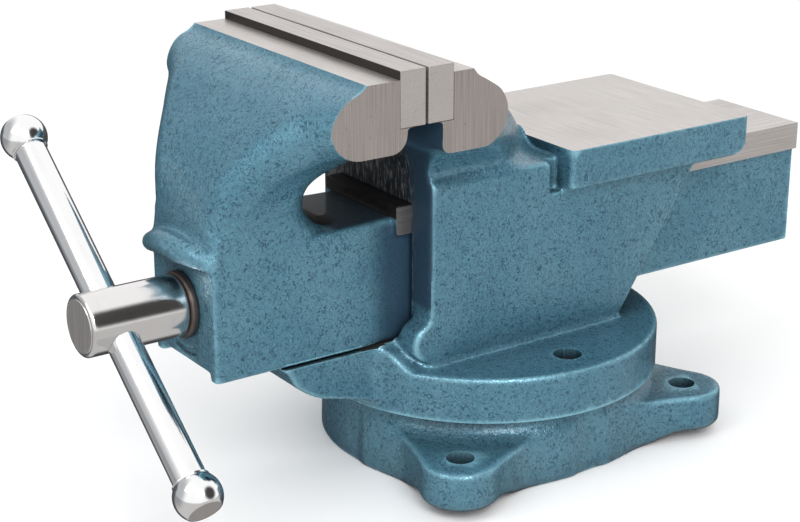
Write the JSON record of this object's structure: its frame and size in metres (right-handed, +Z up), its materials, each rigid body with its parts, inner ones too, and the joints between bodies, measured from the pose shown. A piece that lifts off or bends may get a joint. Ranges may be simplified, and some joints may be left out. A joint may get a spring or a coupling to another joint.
{
  "type": "bench vise",
  "caption": "Cast bench vise with parallel steel-faced jaws, screw and sliding bar handle, anvil block and lockable swivel base.",
  "frame": {"origin": "on the swivel axis, at the plane of the bench", "axes": "+Z up along the swivel axis; +Y from the handle towards the rear of the vise; +X to the right of a person at the handle"},
  "size_m": [0.2175, 0.4089, 0.2117],
  "materials": {
    "casting_paint": "glossy hammertone",
    "ground_steel": "ground",
    "bright_steel": "polished",
    "chrome": "polished",
    "dark_steel": "oiled",
    "black_steel": "black oxide",
    "raw_iron": "as cast"
  },
  "bodies": {
    "base": {"swivel_base": "casting_paint"},
    "vise_body": {"fixed_body": "casting_paint", "fixed_jaw_plate": "ground_steel", "fixed_plate_screws": "black_steel", "spindle_nut": "raw_iron", "nut_screws": "black_steel", "swivel_lock_washers": "dark_steel", "swivel_tee_nuts": "dark_steel", "pivot_bolt": "dark_steel", "pivot_washer": "dark_steel"},
    "sliding_jaw": {"movable_jaw": "casting_paint", "movable_jaw_plate": "ground_steel", "movable_plate_screws": "black_steel", "thrust_collar": "dark_steel"},
    "spindle": {"lead_screw": "bright_steel", "retainer_spring": "dark_steel", "retainer_washer": "dark_steel", "retainer_pin": "dark_steel"},
    "handle": {"handle_bar": "chrome", "handle_knob_upper": "chrome", "handle_knob_lower": "chrome"},
    "lock_bolt_left": {"swivel_lock_bolt_left": "black_steel"},
    "lock_bolt_right": {"swivel_lock_bolt_right": "black_steel"}
  },
  "joints": [
    {"name": "swivel", "type": "hinge", "parent": "base", "child": "vise_body", "pos_m": [0, 0, 0.035], "axis": [0, 0, 1], "continuous": true},
    {"name": "jaw_slide", "type": "slide", "parent": "vise_body", "child": "sliding_jaw", "axis": [0, -1, 0], "range_m": [-0.00125, 0.1501]},
    {"name": "screw_turn", "type": "hinge", "parent": "sliding_jaw", "child": "spindle", "pos_m": [0, -0.17, 0.0983], "axis": [0, -1, 0], "range_deg": [-86.4, 10800]},
    {"name": "handle_slide", "type": "slide", "parent": "spindle", "child": "handle", "axis": [-0.7986, 0, 0.6018], "range_m": [-0.083, 0.07]},
    {"name": "lock_bolt_left_turn", "type": "hinge", "parent": "vise_body", "child": "lock_bolt_left", "pos_m": [-0.069, 0, 0.045], "axis": [0, 0, 1], "range_deg": [0, 360]},
    {"name": "lock_bolt_right_turn", "type": "hinge", "parent": "vise_body", "child": "lock_bolt_right", "pos_m": [0.069, 0, 0.045], "axis": [0, 0, 1], "range_deg": [0, 360]}
  ],
  "couplings": [
    {"joint": "jaw_slide", "follows": "screw_turn", "m_per_rad": 0.00079577}
  ]
}
